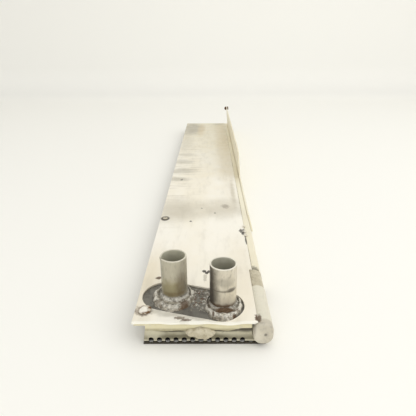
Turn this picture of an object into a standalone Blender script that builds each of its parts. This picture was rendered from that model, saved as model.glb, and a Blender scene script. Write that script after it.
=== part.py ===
"""Burner assembly: a slim two-inlet gas burner of folded and welded stainless sheet.

It lies flame side down. In the bench coordinates used below, X runs to the right from a line
10.6 mm inside the top plate's left edge, Y runs along the burner from the front edge of its top
plate, and Z runs up from the face it rests on. An empty moves everything so that the finished part
is centred on X and Y.
Lengths are in metres.
"""

import math

import bmesh
import bpy
from mathutils import Matrix, Vector

for old in list(bpy.data.objects):
    bpy.data.objects.remove(old, do_unlink=True)

# ---- fits ----
gap = 0.0003                    # between pieces that touch
hole_clearance = 0.0003         # round a pipe, shank or tube that passes through a sheet

# ---- top plate ----
plate_length = 0.777
plate_left = -0.0106            # the plate hangs over the chamber on the left
plate_past_chamber = 0.0063     # how far the plate's right edge passes the chamber
plate_sheet = 0.0015
plate_top = 0.0207
cutout_past_pipes = 0.0425      # cut-out length over the distance between the pipes
cutout_round_pipe = 0.0180      # cut-out width over the pipe's diameter
cutout_forward = 0.0069         # the cut-out lies nearer the front than the pipes do
cutout_leftward = 0.0027

# ---- gas chamber ----
wall_sheet = 0.0012
back_sheet_metal = 0.0015
back_inset = 0.0010             # back sheet inside the top plate's outline
front_lip_depth = 0.0062        # the back sheet's turned-down front edge
front_lip_bend = 0.0026
chamber_right = 0.0783
left_foot = -0.0033
left_lean = 0.0022              # how far the left wall leans in on its way up
rear_wall_setback = 0.0032

# ---- port plate and the row of ports on the front edge ----
port_sheet = 0.0012
port_plate_past_chamber = 0.0101
port_plate_inset = 0.0012
port_pitch = 0.00626
port_first = 0.0024
port_width = 0.0038
port_height = 0.0049            # top of the arches in the front wall
port_end_web = 0.0007           # least metal outside the last port
front_wall_past_chamber = 0.0026
slot_depth = 0.0050             # how far the slots run in from the port plate's front edge
slot_front_stop = 0.0009        # bar left in front of each slot

# ---- inside the chamber ----
screen_sheet = 0.0006
screen_margin = 0.0024
baffle_height = 0.0088
baffle_sheet = 0.0010
baffle_margin = 0.0012
baffle_hole = 0.0080
baffle_pitch = 0.0240
baffle_blank = 0.0700           # unpierced length under the inlets
clip_width = 0.0120
clip_foot = 0.0060
clip_sheet = 0.0010
clips_per_side = 3

# ---- inlet pipes ----
pipe_diameter = 0.0210
pipe_from_wall = 0.0074         # left pipe to the left wall's inner face
pipe_from_front = 0.0289        # left pipe to the plate's front edge
right_pipe_share = 0.2686       # of the chamber's width free of pipes, what lies right of the right one
pipes_along = 0.0119            # the right pipe stands this much nearer the front
pipe_wall = 0.0013
pipe_above_plate = 0.0339
pipe_below_back = 0.0020
weld_reach = 0.0044
weld_height = 0.0034

# ---- side tube at the front right ----
tube_width = 0.0150
tube_bottom = 0.0026
tube_above_plate = 0.0009
tube_wall = 0.0012
tube_length = 0.0470
cap_proud = 0.0030              # the end cap stands in front of the plate's front edge
cap_round = 0.0016
tube_weld_length = 0.0255

# ---- side rail and tall plate on the right ----
rail_sheet = 0.0015
rail_below_plate = 0.0002       # the rail's top flange lies this much under the plate's top
rail_flange = 0.0062            # width of the rail's top flange
rail_lean_out = 0.0051          # how far the rail's outer wall leans out on its way down
rail_bottom_flange = 0.0062
side_sheet = 0.0016
side_start = 0.1930
tall_start = 0.3330
tall_above_rail = 0.0424
tall_lean = 0.0034              # how far the tall part leans in
low_edge = 0.0009               # the low run-out stands this much above the rail
notch_radius = 0.0050
tall_corner_radius = 0.0030

# ---- fasteners and welds ----
bolt_diameter = 0.0040
bolt_head_across = 0.0070
bolt_head_height = 0.0028
nut_height = 0.0032
bolt_tail = 0.0012
bolt_from_rear = 0.0080
bolt_from_top = 0.0034
rivet_at = (-0.0052, 0.1857)
rivet_head = 0.0060
rivet_head_height = 0.0010
rivet_shank = 0.0032
rivet_bore = 0.0016
corner_tack_at = (-0.0030, 0.0150)
corner_tack_diameter = 0.0100
corner_tack_height = 0.0014
lump_centre_x = 0.0400
lump_width = 0.0210
lump_height = 0.0090
lump_depth = 0.0034
lump_below_plate = 0.0095       # from the plate's top down to the lump's middle
seam_tacks_y = (0.1410, 0.1500, 0.1630)
seam_tack_width = 0.0036
seam_tack_length = 0.0048
seam_tack_height = 0.0010

# ---- heights and places that follow from the sizes above ----
plate_right = chamber_right + plate_past_chamber
port_plate_right = chamber_right + port_plate_past_chamber
plate_bottom = plate_top - plate_sheet
back_top = plate_bottom - gap
back_bottom = back_top - back_sheet_metal
wall_top = back_bottom - gap
wall_bottom = port_sheet + gap
wall_tall = wall_top - wall_bottom
screen_bottom = port_sheet + gap
screen_top = screen_bottom + screen_sheet
front_wall_y = back_inset + back_sheet_metal + gap
front_wall_top = back_top - back_sheet_metal / 2 - front_lip_bend     # clear of the fold's bend
front_wall_back = front_wall_y + wall_sheet
rear_wall_y = plate_length - rear_wall_setback - wall_sheet
side_wall_front = front_wall_back + gap
side_wall_rear = rear_wall_y - gap
right_wall_x = chamber_right - wall_sheet
tube_centre_x = chamber_right + hole_clearance + tube_width / 2
tube_height = plate_top + tube_above_plate - tube_bottom
pipe_radius = pipe_diameter / 2
pipe_left_at = (left_foot + left_lean + wall_sheet + pipe_from_wall + pipe_radius,
                pipe_from_front + pipe_radius)
free_width = right_wall_x - (left_foot + left_lean + wall_sheet) - 2 * pipe_diameter
pipe_right_at = (right_wall_x - right_pipe_share * free_width - pipe_radius,
                 pipe_left_at[1] - pipes_along)
divider_x = (pipe_left_at[0] + pipe_right_at[0]) / 2
cutout_width = pipe_diameter + cutout_round_pipe
pipe_top = plate_top + pipe_above_plate
rail_top = plate_top - rail_below_plate
tall_top = rail_top + tall_above_rail
lump_centre_z = plate_top - lump_below_plate
rail_start = tube_length + gap + tube_weld_length + gap
rail_in_x = plate_right + gap
rail_out_x = rail_in_x + rail_flange
rail_foot_x = rail_out_x + rail_lean_out
rail_shoulder = Vector((rail_out_x - rail_sheet / 2, rail_top - rail_sheet / 2))
rail_foot = Vector((rail_foot_x - rail_sheet / 2, gap + rail_sheet / 2))
rail_down = (rail_foot - rail_shoulder).normalized()
rail_outwards = Vector((-rail_down.y, rail_down.x))
side_middle = rail_shoulder + rail_outwards * (rail_sheet / 2 + gap + side_sheet / 2)
lump_seat = back_inset - gap
overall_front = min(-cap_proud, lump_seat - lump_depth)


def side_plate_x(height):
    """Middle of the tall plate's lower part, which lies along the rail's outer wall."""
    return side_middle.x + rail_down.x * (height - side_middle.y) / rail_down.y


overall_right = side_plate_x(0.0) + side_sheet / 2 / rail_outwards.x

# ---- scene, collections and the centring empty ----
parts = bpy.data.collections.new("burner_assembly")
cutters = bpy.data.collections.new("cutters")
bpy.context.scene.collection.children.link(parts)
bpy.context.scene.collection.children.link(cutters)

centring = bpy.data.objects.new("centring", None)
centring.location = (-(plate_left + overall_right) / 2, -(overall_front + plate_length) / 2, 0.0)
parts.objects.link(centring)


def make_material(name, colour, roughness, metallic):
    material = bpy.data.materials.new(name)
    material.use_nodes = True
    shader = material.node_tree.nodes["Principled BSDF"]
    shader.inputs["Base Color"].default_value = (*colour, 1.0)
    shader.inputs["Roughness"].default_value = roughness
    shader.inputs["Metallic"].default_value = metallic
    return material


def place(obj, material=None, collection=parts):
    """Links an object, hangs it on the centring empty and gives it its material."""
    collection.objects.link(obj)
    obj.parent = centring
    if material is not None:
        obj.data.materials.clear()
        obj.data.materials.append(material)
    if collection is cutters:
        obj.hide_render = True
        obj.display_type = "WIRE"
    return obj


def from_bmesh(name, mesh_builder):
    mesh = bpy.data.meshes.new(name)
    mesh_builder.to_mesh(mesh)
    mesh_builder.free()
    return bpy.data.objects.new(name, mesh)


def round_shading(obj, degrees=35):
    obj.data.shade_smooth()
    obj.data.set_sharp_from_angle(angle=math.radians(degrees))


def make_block(name, low, high):
    """A box between two corners."""
    low = Vector(low)
    high = Vector(high)
    builder = bmesh.new()
    bmesh.ops.create_cube(builder, size=1.0)
    bmesh.ops.scale(builder, vec=high - low, verts=builder.verts)
    obj = from_bmesh(name, builder)
    obj.location = (low + high) / 2
    return obj


def make_cylinder(name, radius, depth, sides):
    builder = bmesh.new()
    bmesh.ops.create_cone(builder, cap_ends=True, segments=sides, depth=depth, radius1=radius,
                          radius2=radius)
    obj = from_bmesh(name, builder)
    round_shading(obj)
    return obj


def make_turned(name, profile, sides):
    """A closed (radius, height) profile turned about Z; it runs down its outer side."""
    builder = bmesh.new()
    ring = [builder.verts.new((radius, 0.0, height)) for radius, height in profile]
    for here, after in zip(ring, ring[1:] + ring[:1]):
        builder.edges.new((here, after))
    obj = from_bmesh(name, builder)
    screw = obj.modifiers.new("turn", "SCREW")
    screw.steps = sides
    screw.render_steps = sides
    screw.use_merge_vertices = True
    screw.merge_threshold = 0.00001
    return obj


def make_flat(name, outlines, thickness, turn=(0.0, 0.0, 0.0)):
    """A flat sheet from closed outlines; the first is the edge and the rest are holes."""
    curve = bpy.data.curves.new(name, "CURVE")
    curve.dimensions = "2D"
    curve.fill_mode = "BOTH"
    curve.extrude = thickness / 2
    for outline in outlines:
        spline = curve.splines.new("POLY")
        spline.points.add(len(outline) - 1)
        for point, (across, along) in zip(spline.points, outline):
            point.co = (across, along, 0.0, 1.0)
        spline.use_cyclic_u = True
    guide = bpy.data.objects.new(name + "_outline", curve)
    bpy.context.scene.collection.objects.link(guide)
    guide.rotation_euler = turn
    bpy.context.view_layer.update()
    evaluated = guide.evaluated_get(bpy.context.evaluated_depsgraph_get())
    mesh = bpy.data.meshes.new_from_object(evaluated)
    mesh.name = name
    mesh.transform(guide.matrix_world)
    bpy.data.objects.remove(guide, do_unlink=True)
    builder = bmesh.new()
    builder.from_mesh(mesh)
    bmesh.ops.remove_doubles(builder, verts=builder.verts, dist=0.000001)
    bmesh.ops.recalc_face_normals(builder, faces=builder.faces)
    builder.to_mesh(mesh)
    builder.free()
    return bpy.data.objects.new(name, mesh)


def make_section(name, outlines, start, end):
    """An outline in (x, z) extruded along Y from start to end."""
    obj = make_flat(name, outlines, end - start, turn=(math.radians(90), 0.0, 0.0))
    obj.location.y = (start + end) / 2
    return obj


def make_folded(name, path, thickness, start, end, along="Y"):
    """Sheet that follows a middle line in (across, up), extruded along Y or X."""
    builder = bmesh.new()
    if along == "Y":
        line = [builder.verts.new((across, start, up)) for across, up in path]
        reach = Vector((0.0, end - start, 0.0))
    else:
        line = [builder.verts.new((start, across, up)) for across, up in path]
        reach = Vector((end - start, 0.0, 0.0))
    edges = [builder.edges.new(pair) for pair in zip(line, line[1:])]
    swept = bmesh.ops.extrude_edge_only(builder, edges=edges)["geom"]
    moved = [item for item in swept if isinstance(item, bmesh.types.BMVert)]
    bmesh.ops.translate(builder, vec=reach, verts=moved)
    obj = from_bmesh(name, builder)
    solid = obj.modifiers.new("sheet", "SOLIDIFY")
    solid.thickness = thickness
    solid.offset = 0.0
    solid.use_even_offset = True
    return obj


def arc(centre, radius, first, last, steps):
    """Points of an arc, angles in degrees."""
    points = []
    for step in range(steps + 1):
        angle = math.radians(first + (last - first) * step / steps)
        points.append((centre[0] + radius * math.cos(angle), centre[1] + radius * math.sin(angle)))
    return points


def obround(centre, length, width, angle=0.0, steps=12):
    """A slot outline: two half circles joined by straights, turned by an angle in radians."""
    reach = (length - width) / 2
    flat = arc((reach, 0.0), width / 2, -90, 90, steps) + arc((-reach, 0.0), width / 2, 90, 270, steps)
    turn = Matrix.Rotation(angle, 2)
    return [tuple(turn @ Vector(point) + Vector(centre)) for point in flat]


def rectangle(left, front, right, rear):
    return [(left, front), (right, front), (right, rear), (left, rear)]


def cut(obj, tool, operation="DIFFERENCE"):
    step = obj.modifiers.new(tool.name, "BOOLEAN")
    step.object = tool
    step.operation = operation
    step.solver = "EXACT"


def bevel(obj, width, segments=2, degrees=40):
    step = obj.modifiers.new("edges", "BEVEL")
    step.width = width
    step.segments = segments
    step.limit_method = "ANGLE"
    step.angle_limit = math.radians(degrees)


# ---- materials ----
plate_steel = make_material("heat_tinted_stainless", (0.86, 0.83, 0.75), 0.42, 0.55)
back_steel = make_material("scaled_dark_steel", (0.24, 0.24, 0.24), 0.55, 0.6)
pipe_steel = make_material("pipe_steel", (0.55, 0.54, 0.50), 0.45, 0.7)
weld_metal = make_material("weld_metal", (0.62, 0.58, 0.50), 0.5, 0.6)
face_steel = make_material("front_face_steel", (0.66, 0.63, 0.55), 0.5, 0.5)
port_steel = make_material("port_plate_steel", (0.58, 0.55, 0.50), 0.5, 0.6)
inner_steel = make_material("inner_steel", (0.45, 0.44, 0.42), 0.5, 0.7)
rusty_steel = make_material("rusty_steel", (0.30, 0.17, 0.09), 0.8, 0.3)

# ---- cutters that several pieces share ----
pipes_apart = Vector(pipe_right_at) - Vector(pipe_left_at)
pipe_line = pipes_apart.normalized()
pipe_line_angle = math.atan2(pipe_line.y, pipe_line.x)
pipe_side = Vector((-pipe_line.y, pipe_line.x))
pipes_middle = (Vector(pipe_left_at) + Vector(pipe_right_at)) / 2
cutout_centre = pipes_middle - pipe_side * cutout_forward - pipe_line * cutout_leftward
cutout_length = pipes_apart.length + cutout_past_pipes

cutout_core = make_flat(
    "cutout_core",
    [obround(cutout_centre, cutout_length - 2 * gap, cutout_width - 2 * gap, pipe_line_angle, 16)],
    plate_top,
)
cutout_core.location.z = plate_top
place(cutout_core, collection=cutters)

tube_middle_z = tube_bottom + tube_height / 2
tube_clearance = make_section(
    "tube_clearance",
    [[(tube_centre_x + up, tube_middle_z + across) for across, up in obround(
        (0.0, 0.0), tube_height + 2 * hole_clearance, tube_width + 2 * hole_clearance, 0.0, 16)]],
    -cap_proud - gap,
    rail_start,
)
place(tube_clearance, collection=cutters)


def pipe_clearance(name, at):
    tool = make_cylinder(name, pipe_radius + hole_clearance, 4 * plate_top, 48)
    tool.location = (at[0], at[1], plate_top)
    return place(tool, collection=cutters)


left_pipe_clearance = pipe_clearance("left_pipe_clearance", pipe_left_at)
right_pipe_clearance = pipe_clearance("right_pipe_clearance", pipe_right_at)

rivet_clearance = make_cylinder("rivet_clearance", rivet_shank / 2 + hole_clearance, 2 * plate_top, 20)
rivet_clearance.location = (*rivet_at, plate_top)
place(rivet_clearance, collection=cutters)


def make_top_plate():
    edge = rectangle(plate_left, 0.0, plate_right, plate_length)
    hole = obround(cutout_centre, cutout_length, cutout_width, pipe_line_angle, 16)
    plate = make_flat("top_plate", [edge, hole], plate_sheet)
    plate.location.z = plate_top - plate_sheet / 2
    cut(plate, tube_clearance)
    cut(plate, rivet_clearance)
    return place(plate, plate_steel)


def make_back_sheet():
    """The chamber's back: flat, with its front edge turned down where the chamber is."""
    middle = back_top - back_sheet_metal / 2
    front = back_inset + back_sheet_metal / 2
    bend = arc((front + front_lip_bend, middle - front_lip_bend), front_lip_bend, 90, 180, 5)
    path = [(plate_length - back_inset, middle)] + bend + [(front, back_top - front_lip_depth)]
    sheet = make_folded("back_sheet", path, back_sheet_metal,
                        plate_left + back_inset, chamber_right - gap, along="X")
    relief = make_block("flange_relief", (2 * plate_left, -front_lip_depth, 0.0),
                        (left_wall_x(wall_top), 2 * front_lip_depth, wall_top))
    place(relief, collection=cutters)
    cut(sheet, relief)
    cut(sheet, left_pipe_clearance)
    cut(sheet, right_pipe_clearance)
    cut(sheet, rivet_clearance)
    return place(sheet, back_steel)


def left_wall_x(height):
    """Outer face of the leaning left wall at a height above the table."""
    return left_foot + left_lean * (height - wall_bottom) / wall_tall


def make_left_wall():
    section = [
        (left_wall_x(wall_bottom), wall_bottom), (left_wall_x(wall_bottom) + wall_sheet, wall_bottom),
        (left_wall_x(wall_top) + wall_sheet, wall_top), (left_wall_x(wall_top), wall_top),
    ]
    return place(make_section("left_side_wall", [section], side_wall_front, side_wall_rear), face_steel)


def make_right_wall():
    wall = make_block("right_side_wall", (right_wall_x, side_wall_front, wall_bottom),
                      (chamber_right, side_wall_rear, wall_top))
    return place(wall, face_steel)


def port_middles(right):
    """Middles of the ports that fit left of an edge, evenly pitched from the first."""
    room = right - port_end_web - port_width / 2 - port_first
    return [port_first + number * port_pitch for number in range(int(room / port_pitch) + 1)]


def make_end_plate(name, start, right, top, ports):
    """A wall across the chamber, with a round-topped port in its foot at each given middle."""
    edge = [(left_foot, wall_bottom)]
    radius = port_width / 2
    for middle in ports:
        edge.append((middle - radius, wall_bottom))
        edge += arc((middle, port_height - radius), radius, 180, 0, 6)
        edge.append((middle + radius, wall_bottom))
    edge += [(right, wall_bottom), (right, top), (left_wall_x(top), top)]
    return make_section(name, [edge], start, start + wall_sheet)


def make_front_wall():
    wall = make_end_plate("front_end_plate", front_wall_y, chamber_right + front_wall_past_chamber,
                          front_wall_top, port_middles(chamber_right))
    cut(wall, tube_clearance)
    return place(wall, face_steel)


def make_rear_wall():
    wall = make_end_plate("rear_end_plate", rear_wall_y, chamber_right, wall_top, [])
    return place(wall, face_steel)


def make_port_plate():
    """The flame side: a flat sheet with a row of slots just behind its front edge."""
    front = port_plate_inset
    edge = rectangle(left_foot, front, port_plate_right, plate_length - port_plate_inset)
    slots = []
    for middle in port_middles(port_plate_right):
        slots.append(obround((middle, front + slot_front_stop + slot_depth / 2), slot_depth, port_width,
                             math.radians(90), 6))
    plate = make_flat("port_plate", [edge] + slots, port_sheet)
    plate.location.z = port_sheet / 2
    return place(plate, port_steel)


def make_screen():
    low = (left_foot + wall_sheet + screen_margin, side_wall_front + screen_margin, screen_bottom)
    high = (right_wall_x - screen_margin, side_wall_rear - screen_margin, screen_top)
    return place(make_block("diffuser_screen", low, high), inner_steel)


def make_divider():
    low = (divider_x - wall_sheet / 2, side_wall_front, screen_top + gap)
    high = (divider_x + wall_sheet / 2, side_wall_rear, wall_top)
    return place(make_block("chamber_divider", low, high), inner_steel)


def make_baffle(name, left, right):
    """A strip pierced with a row of round holes, blank under the inlet."""
    start = side_wall_front + baffle_margin
    end = side_wall_rear - baffle_margin
    holes = []
    count = int((end - start - baffle_blank - baffle_hole) / baffle_pitch)
    for number in range(count):
        middle = ((left + right) / 2, start + baffle_blank + baffle_pitch * (number + 0.5))
        holes.append(arc(middle, baffle_hole / 2, 0, 330, 11))
    baffle = make_flat(name, [rectangle(left, start, right, end)] + holes, baffle_sheet)
    baffle.location.z = baffle_height + baffle_sheet / 2
    return place(baffle, inner_steel)


def make_baffle_supports(side, left):
    """Z-shaped clips between the screen and a baffle, evenly spaced along it."""
    bottom = screen_top + gap + clip_sheet / 2
    top = baffle_height - gap - clip_sheet / 2
    first = side_wall_front + baffle_blank
    spacing = (side_wall_rear - first) / clips_per_side
    path = [(left, bottom), (left + clip_foot, bottom), (left + clip_foot, top), (left + 2 * clip_foot, top)]
    for number in range(clips_per_side):
        middle = first + spacing * (number + 0.5)
        clip = make_folded(f"baffle_support_{side}_{number + 1}", path, clip_sheet,
                           middle - clip_width / 2, middle + clip_width / 2)
        place(clip, inner_steel)


def make_pipe(name, at):
    inner = pipe_radius - pipe_wall
    bottom = back_bottom - pipe_below_back
    profile = [(inner, pipe_top), (pipe_radius, pipe_top), (pipe_radius, bottom), (inner, bottom)]
    pipe = make_turned(name, profile, 40)
    pipe.location = (at[0], at[1], 0.0)
    round_shading(pipe)
    return place(pipe, pipe_steel)


def make_inlet_weld(name, at):
    """A heavy fillet of weld round a pipe's foot, kept inside the top plate's cut-out."""
    inner = pipe_radius + gap
    base = back_top + gap
    profile = [
        (inner, base + weld_height), (inner + 0.35 * weld_reach, base + 0.82 * weld_height),
        (inner + 0.75 * weld_reach, base + 0.45 * weld_height), (inner + weld_reach, base),
        (inner, base),
    ]
    weld = make_turned(name, profile, 40)
    weld.location = (at[0], at[1], 0.0)
    cut(weld, cutout_core, "INTERSECT")
    round_shading(weld)
    return place(weld, weld_metal)


def upright_obround(height, width, middle_z, steps=10):
    """The side tube's outline in (x, z)."""
    return [(tube_centre_x + across, middle_z + up)
            for across, up in obround((0.0, 0.0), height, width, math.radians(90), steps)]


def make_side_tube():
    outer = upright_obround(tube_height, tube_width, tube_middle_z)
    inner = upright_obround(tube_height - 2 * tube_wall, tube_width - 2 * tube_wall, tube_middle_z)
    tube = make_section("side_tube", [outer, inner], 0.0, tube_length)
    round_shading(tube)
    return place(tube, face_steel)


def make_side_tube_cap():
    outer = upright_obround(tube_height, tube_width, tube_middle_z)
    cap = make_section("side_tube_cap", [outer], -cap_proud, -gap)
    bevel(cap, cap_round)
    round_shading(cap)
    return place(cap, face_steel)


def make_side_tube_weld():
    """The built-up joint between the tube and the rail."""
    start = tube_length + gap
    end = start + tube_weld_length
    outer = upright_obround(tube_height - 2 * gap, tube_width - 2 * gap, tube_middle_z)
    joint = make_section("side_tube_weld", [outer], start, end)
    bevel(joint, cap_round)
    round_shading(joint)
    return place(joint, weld_metal)


def make_side_rail():
    """Folded strip: top flange beside the plate, leaning outer wall, bottom flange."""
    path = [
        (rail_in_x, rail_shoulder.y), tuple(rail_shoulder), tuple(rail_foot),
        (rail_foot_x - rail_bottom_flange, rail_foot.y),
    ]
    rail = make_folded("side_rail", path, rail_sheet, rail_start, plate_length - back_inset)
    return place(rail, plate_steel)


def make_tall_side_plate():
    """Sheet that follows the rail's outer wall up, then stands tall over the far part."""
    bend_x = side_plate_x(rail_top)
    path = [(side_plate_x(-side_sheet), -side_sheet), (bend_x, rail_top), (bend_x - tall_lean, tall_top)]
    sheet = make_folded("tall_side_plate", path, side_sheet, side_start, plate_length)
    low_top = rail_top + low_edge
    above = 2 * tall_top
    before = side_start - tall_top
    notch = [(before, low_top), (tall_start - notch_radius, low_top)]
    notch += arc((tall_start - notch_radius, low_top + notch_radius), notch_radius, -90, 0, 6)
    notch += arc((tall_start + tall_corner_radius, tall_top - tall_corner_radius), tall_corner_radius,
                 180, 90, 5)
    notch += [(tall_start + tall_corner_radius, above), (before, above)]
    run_out = make_flat("low_run_out", [notch], 2 * tall_top, turn=(math.radians(90), 0.0, math.radians(90)))
    run_out.location.x = bend_x
    below = make_block("below_the_foot", (0.0, 0.0, -tall_top), (2 * overall_right, 2 * plate_length, 0.0))
    over = make_block("over_the_top", (0.0, 0.0, tall_top), (2 * overall_right, 2 * plate_length, 2 * tall_top))
    hole = make_cylinder("bolt_clearance", bolt_diameter / 2 + hole_clearance, 10 * side_sheet, 16)
    hole.rotation_euler = bolt_turn
    hole.location = bolt_place
    for tool in (run_out, below, over, hole):
        place(tool, collection=cutters)
        cut(sheet, tool)
    return place(sheet, plate_steel)


# the bolt stands square to the leaning tall plate
lean_angle = math.atan2(tall_lean, tall_top - rail_top)
bolt_turn = (0.0, math.radians(90) - lean_angle, 0.0)
bolt_z = tall_top - bolt_from_top
bolt_place = Vector((side_plate_x(rail_top) - (bolt_z - rail_top) * math.tan(lean_angle),
                     plate_length - bolt_from_rear, bolt_z))


def make_bolt():
    """Hexagon head outside, shank through the plate and the nut; its own axis is Z."""
    face = side_sheet / 2 + gap
    shank_end = -(face + nut_height + bolt_tail)
    head = make_cylinder("side_plate_bolt", bolt_head_across / math.sqrt(3), bolt_head_height, 6)
    head.data.transform(Matrix.Translation((0.0, 0.0, face + bolt_head_height / 2)))
    shank_top = face + bolt_head_height / 2
    shank = make_cylinder("bolt_shank", bolt_diameter / 2, shank_top - shank_end, 16)
    shank.data.transform(Matrix.Translation((0.0, 0.0, (shank_top + shank_end) / 2)))
    for piece in (head, shank):
        piece.rotation_euler = bolt_turn
        piece.location = bolt_place
    place(shank, collection=cutters)
    cut(head, shank, "UNION")
    return place(head, rusty_steel)


def make_nut():
    outer = bolt_head_across / math.sqrt(3)
    hexagon = arc((0.0, 0.0), outer, 0, 300, 5)
    bore = arc((0.0, 0.0), bolt_diameter / 2 + hole_clearance, 0, 337.5, 15)
    nut = make_flat("side_plate_nut", [hexagon, bore], nut_height)
    nut.data.transform(Matrix.Translation((0.0, 0.0, -(side_sheet / 2 + gap + nut_height / 2))))
    nut.rotation_euler = bolt_turn
    nut.location = bolt_place
    return place(nut, rusty_steel)


def make_rivet():
    """Blind rivet through the top plate and the back sheet's left edge."""
    head = rivet_head / 2
    shank = rivet_shank / 2
    bore = rivet_bore / 2
    under = back_bottom - gap
    seat = plate_top + gap
    profile = [
        (bore, seat + rivet_head_height), (0.55 * head, seat + rivet_head_height),
        (head, seat + 0.35 * rivet_head_height), (head, seat), (shank, seat), (shank, under),
        (1.4 * shank, under), (1.4 * shank, under - rivet_head_height), (bore, under - rivet_head_height),
    ]
    rivet = make_turned("plate_rivet", profile, 20)
    rivet.location = (*rivet_at, 0.0)
    round_shading(rivet)
    return place(rivet, rusty_steel)


def make_dome(name, width, length, height, centre, sides=20):
    """A low weld bead: the upper half of a flattened ball on a flat foot."""
    builder = bmesh.new()
    bmesh.ops.create_uvsphere(builder, u_segments=sides, v_segments=8, radius=0.5)
    bmesh.ops.bisect_plane(builder, geom=builder.verts[:] + builder.edges[:] + builder.faces[:],
                           plane_co=(0.0, 0.0, 0.0), plane_no=(0.0, 0.0, 1.0), clear_inner=True)
    rim = [edge for edge in builder.edges if edge.is_boundary]
    bmesh.ops.contextual_create(builder, geom=rim)
    bmesh.ops.scale(builder, vec=(width, length, 2 * height), verts=builder.verts)
    dome = from_bmesh(name, builder)
    dome.location = centre
    round_shading(dome)
    return dome


def make_corner_tack():
    tack = make_dome("corner_tack_weld", corner_tack_diameter, corner_tack_diameter, corner_tack_height,
                     (*corner_tack_at, plate_top + gap))
    return place(tack, weld_metal)


def make_front_lump():
    """Large smooth weld on the front lip; its flat back faces the burner."""
    lump = make_dome("front_weld_lump", lump_width, lump_height, lump_depth,
                     (lump_centre_x, lump_seat, lump_centre_z), 24)
    lump.rotation_euler = (math.radians(90), 0.0, 0.0)
    return place(lump, weld_metal)


def make_seam_tacks():
    """Beads that hold the rail's flange to the plate's right edge."""
    for number, along in enumerate(seam_tacks_y):
        tack = make_dome(f"seam_tack_weld_{number + 1}", seam_tack_width, seam_tack_length, seam_tack_height,
                         (plate_right + gap / 2, along, plate_top + gap), 12)
        place(tack, weld_metal)


# ---- build ----
make_top_plate()
make_back_sheet()
make_left_wall()
make_right_wall()
make_front_wall()
make_rear_wall()
make_port_plate()
make_screen()
make_divider()
baffle_left = left_wall_x(baffle_height + baffle_sheet) + wall_sheet + baffle_margin
make_baffle("distribution_baffle_left", baffle_left, divider_x - wall_sheet / 2 - baffle_margin)
make_baffle("distribution_baffle_right", divider_x + wall_sheet / 2 + baffle_margin,
            right_wall_x - baffle_margin)
make_baffle_supports("left", baffle_left + clip_foot / 2)
make_baffle_supports("right", divider_x + clip_foot)
make_pipe("inlet_pipe_left", pipe_left_at)
make_pipe("inlet_pipe_right", pipe_right_at)
make_inlet_weld("inlet_weld_left", pipe_left_at)
make_inlet_weld("inlet_weld_right", pipe_right_at)
make_side_tube()
make_side_tube_cap()
make_side_tube_weld()
make_side_rail()
make_tall_side_plate()
make_bolt()
make_nut()
make_rivet()
make_corner_tack()
make_front_lump()
make_seam_tacks()
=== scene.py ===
import bmesh
import bpy
import math
from mathutils import Euler, Matrix, Vector, noise


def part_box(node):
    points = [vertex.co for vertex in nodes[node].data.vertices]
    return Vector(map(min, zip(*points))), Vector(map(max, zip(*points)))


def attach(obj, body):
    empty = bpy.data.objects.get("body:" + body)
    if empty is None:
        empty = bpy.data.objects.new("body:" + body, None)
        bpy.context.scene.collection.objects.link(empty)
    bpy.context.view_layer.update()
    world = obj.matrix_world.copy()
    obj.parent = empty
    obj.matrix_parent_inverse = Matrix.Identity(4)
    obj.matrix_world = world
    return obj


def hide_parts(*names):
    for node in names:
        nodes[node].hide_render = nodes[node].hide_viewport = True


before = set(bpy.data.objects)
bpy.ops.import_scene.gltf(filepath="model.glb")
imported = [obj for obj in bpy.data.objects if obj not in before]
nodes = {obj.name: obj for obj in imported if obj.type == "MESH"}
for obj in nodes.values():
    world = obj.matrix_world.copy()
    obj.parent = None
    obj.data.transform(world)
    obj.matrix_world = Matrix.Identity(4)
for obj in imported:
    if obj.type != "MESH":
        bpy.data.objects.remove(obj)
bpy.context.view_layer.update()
scene = bpy.context.scene
print("frame loaded,", len(nodes), "CAD nodes")

# lengths below are millimetres: across from a line 10.6 inside the plate's left edge, along from its
# front edge, up from the table
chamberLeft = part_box("top_plate")[0].x + 0.0106
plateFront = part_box("top_plate")[0].y
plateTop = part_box("top_plate")[1].z * 1000


def spot(x, y, z=0.0):
    return Vector((chamberLeft + x / 1000, plateFront + y / 1000, z / 1000))


def benchPlace(point):
    return (point.x - chamberLeft) * 1000, (point.y - plateFront) * 1000, point.z * 1000


def nodeMiddle(name):
    low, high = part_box(name)
    return Vector(benchPlace((low + high) / 2))


def lump(point, size, seed=0.0):
    # smooth noise from -1 to 1, one wave about size millimetres long
    return noise.noise(Vector(benchPlace(point)) / size + Vector((seed, 3.7 * seed, -seed)))


# materials

def linear(*colour):
    # a colour picked in everyday 0 to 255 values
    parts = (((part / 255 + 0.055) / 1.055) ** 2.4 if part > 10 else part / 3294 for part in colour)
    return (*parts, 1.0)


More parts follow.
